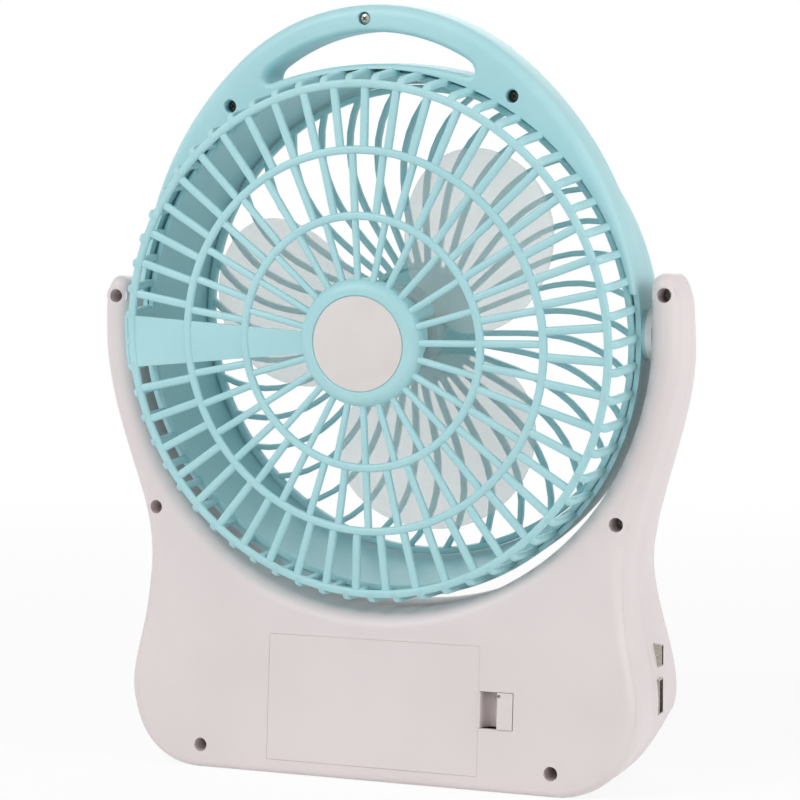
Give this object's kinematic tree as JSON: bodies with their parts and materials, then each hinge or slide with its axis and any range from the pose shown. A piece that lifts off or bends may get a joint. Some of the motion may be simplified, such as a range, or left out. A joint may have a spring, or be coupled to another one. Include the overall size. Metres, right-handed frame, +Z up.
{
  "type": "rechargeable desk fan",
  "caption": "Round guarded fan head with a carry handle, tilting between the arms of a waisted stand that holds the cells, sockets and speed dial.",
  "frame": {"origin": "middle of the flat underside of the stand", "axes": "+Z up, +Y out of the rear grille, so the air leaves towards -Y; X across, along the tilt axis"},
  "size_m": [0.232, 0.0991, 0.2905],
  "materials": {
    "white_abs": "moulded white plastic with a soft gloss",
    "turquoise_abs": "moulded light turquoise plastic with a soft gloss",
    "clear_blade": "milky clear moulded plastic",
    "label_film": "bare white film",
    "zinc_screw": "zinc plated steel",
    "white_acetal": "white bearing plastic",
    "black_rubber": "black rubber",
    "cell_wrap": "blue shrink film over a metal can",
    "spring_steel": "plated spring steel",
    "board_laminate": "green circuit laminate",
    "socket_nickel": "nickel plated sheet metal",
    "black_nylon": "black nylon",
    "motor_steel": "plated steel",
    "sintered_bronze": "oil filled bronze",
    "ferrite": "dark ferrite",
    "lead_pvc": "black PVC insulation"
  },
  "bodies": {
    "base": {"base_front_shell": "white_abs", "base_rear_shell": "white_abs", "base_screws": "zinc_screw", "pivot_bushes": "white_acetal", "friction_rings": "black_rubber", "battery_tray": "white_abs", "battery_cells": "cell_wrap", "battery_contacts": "spring_steel", "control_board": "board_laminate", "board_screws": "zinc_screw", "usb_output_socket": "socket_nickel", "charging_socket": "socket_nickel", "rotary_switch": "black_nylon"},
    "door": {"battery_door": "white_abs"},
    "dial": {"speed_dial": "turquoise_abs", "dial_spindle": "spring_steel"},
    "head": {"front_housing": "turquoise_abs", "rear_housing": "turquoise_abs", "front_grille": "turquoise_abs", "rear_grille": "turquoise_abs", "label_disc": "label_film", "handle_screws": "zinc_screw", "trunnion_clips": "spring_steel", "motor_can": "motor_steel", "motor_end_cap": "black_nylon", "motor_bearings": "sintered_bronze", "motor_magnets": "ferrite", "motor_retainer": "turquoise_abs", "motor_screws": "zinc_screw", "motor_lead": "lead_pvc"},
    "fan": {"motor_shaft": "motor_steel", "motor_armature": "motor_steel", "fan_blades": "clear_blade"}
  },
  "joints": [
    {"name": "head_tilt", "type": "hinge", "parent": "base", "child": "head", "pos_m": [0, 0.0149, 0.1678], "axis": [1, 0, 0], "range_deg": [-80, 40]},
    {"name": "fan_spin", "type": "hinge", "parent": "head", "child": "fan", "pos_m": [0, 0.0149, 0.1678], "axis": [0, 0.9942, -0.1078], "continuous": true},
    {"name": "dial_turn", "type": "hinge", "parent": "base", "child": "dial", "pos_m": [0, -0.03084, 0.02946], "axis": [0, 0.982, -0.1887], "range_deg": [0, 135]},
    {"name": "door_swing", "type": "hinge", "parent": "base", "child": "door", "pos_m": [0.04278, 0.03423, 0.02936], "axis": [0, 0.0769, -0.997], "range_deg": [0, 75]}
  ]
}
